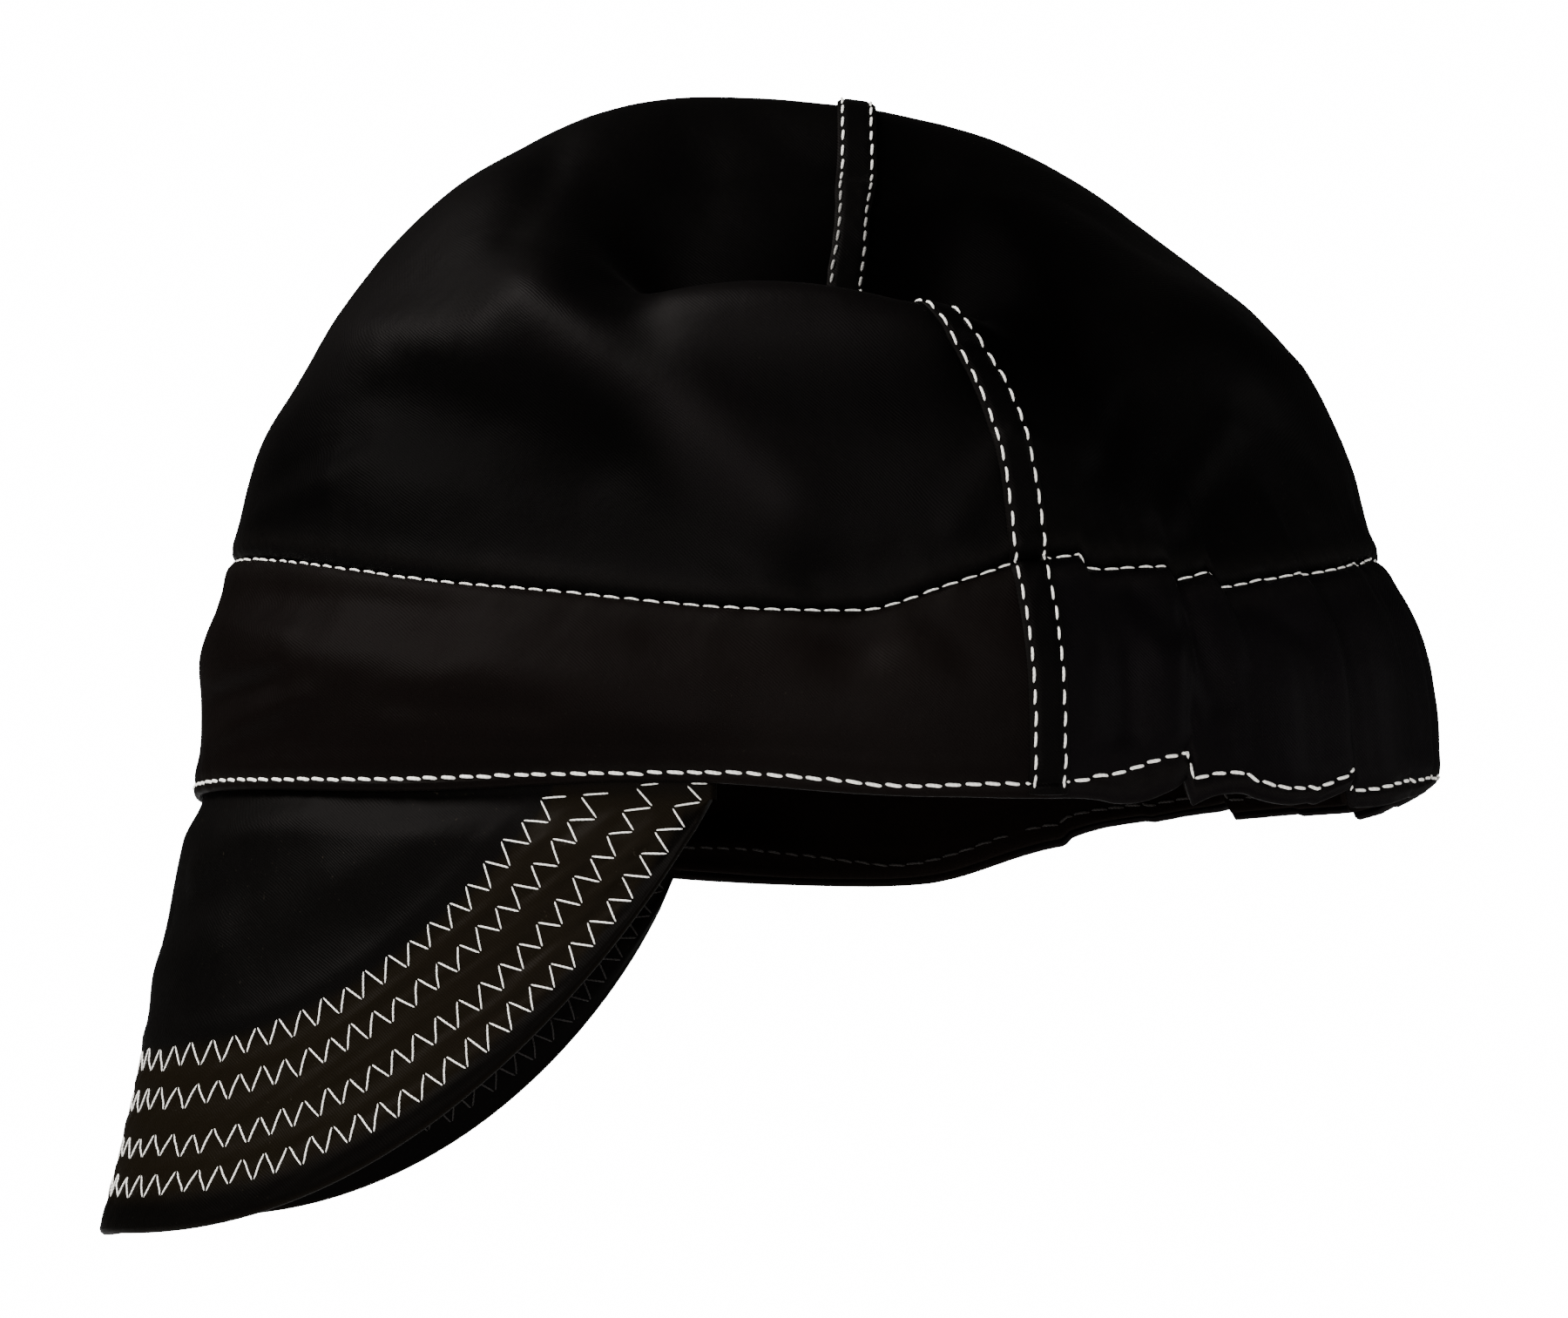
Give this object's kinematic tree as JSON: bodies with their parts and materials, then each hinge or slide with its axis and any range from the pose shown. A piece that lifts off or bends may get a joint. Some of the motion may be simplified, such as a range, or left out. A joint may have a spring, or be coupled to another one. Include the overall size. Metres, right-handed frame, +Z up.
{
  "type": "welding cap",
  "caption": "Soft black cloth welding cap with a quilted peak, an ear-to-ear felled seam and an elastic band gathered at the back.",
  "frame": {"origin": "middle of the head opening, level with the hem at the forehead", "axes": "+Y towards the back of the head, +X towards the wearer's left, +Z up; the peak points to -Y"},
  "size_m": [0.1517, 0.2399, 0.2073],
  "materials": {
    "black_cloth": "satin-faced black cotton twill",
    "band_cloth": "satin-faced black cotton twill, creased",
    "inner_cloth": "matt back of black cotton twill",
    "peak_cloth": "quilted black cotton twill",
    "stitching": "off-white sewing thread"
  },
  "bodies": {
    "root": {"crown_front": "black_cloth", "crown_rear": "black_cloth", "crown_seam_fell": "black_cloth", "band_front": "band_cloth", "band_rear": "band_cloth", "facing_front": "inner_cloth", "facing_rear": "inner_cloth", "peak": "peak_cloth"}
  },
  "joints": []
}
